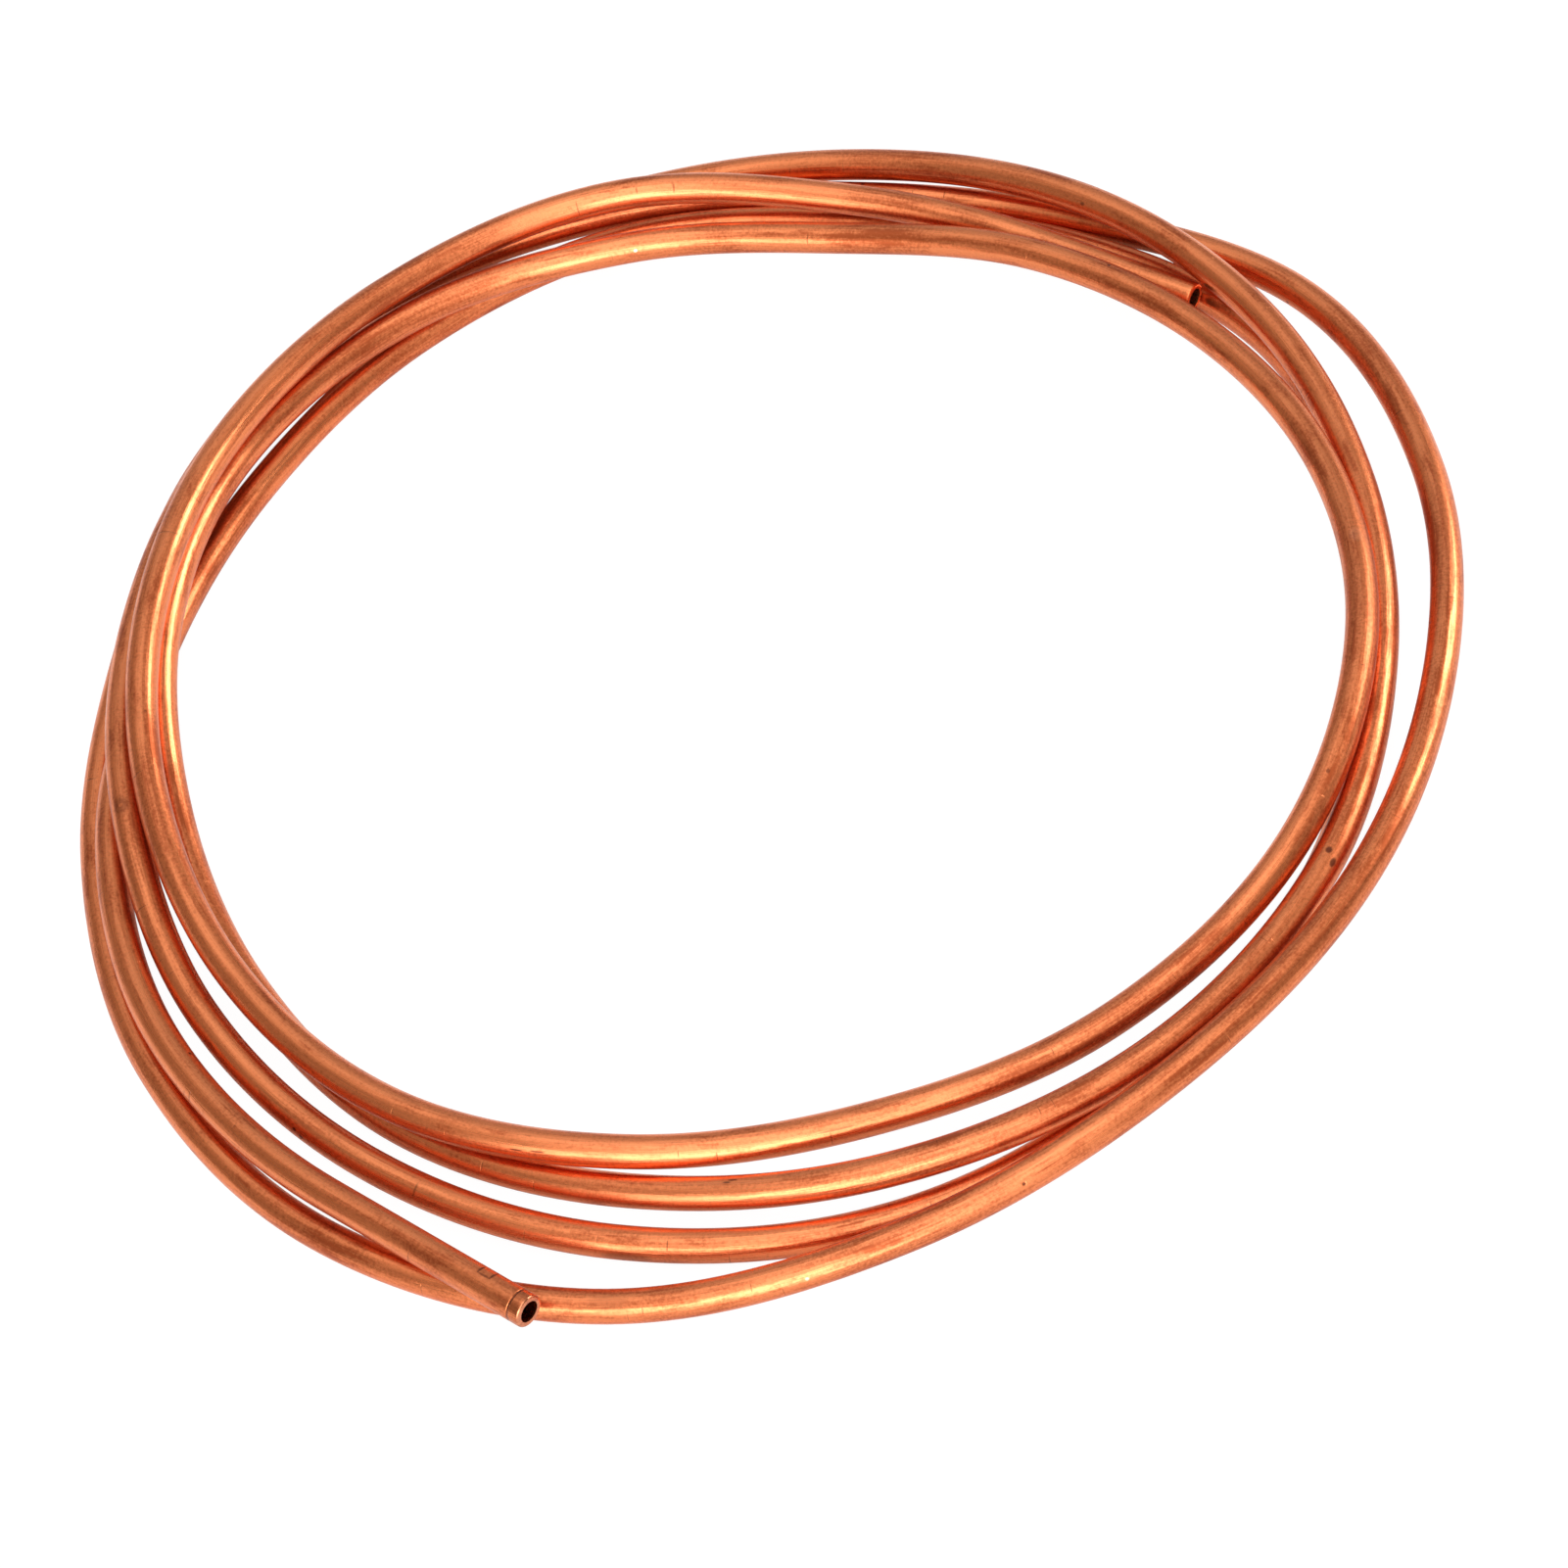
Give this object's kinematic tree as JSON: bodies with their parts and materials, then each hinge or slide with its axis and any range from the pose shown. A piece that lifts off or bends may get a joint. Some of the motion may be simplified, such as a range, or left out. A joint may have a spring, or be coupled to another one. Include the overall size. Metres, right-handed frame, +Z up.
{
  "type": "coil of copper tube",
  "caption": "Loose hand-wound coil of bare thin copper tube whose turns cross over each other, with plain wheel-cut open ends.",
  "frame": {"origin": "centre of the coil's bounding box in plan, at the floor that the coil lies on", "axes": "+Z up along the coil's axis, +X to the right and +Y away from the side where the free end comes out, as the picture shows the coil"},
  "size_m": [0.1708, 0.1764, 0.0148],
  "materials": {
    "copper": "satin"
  },
  "bodies": {
    "root": {"copper_tube": "copper"}
  },
  "joints": []
}
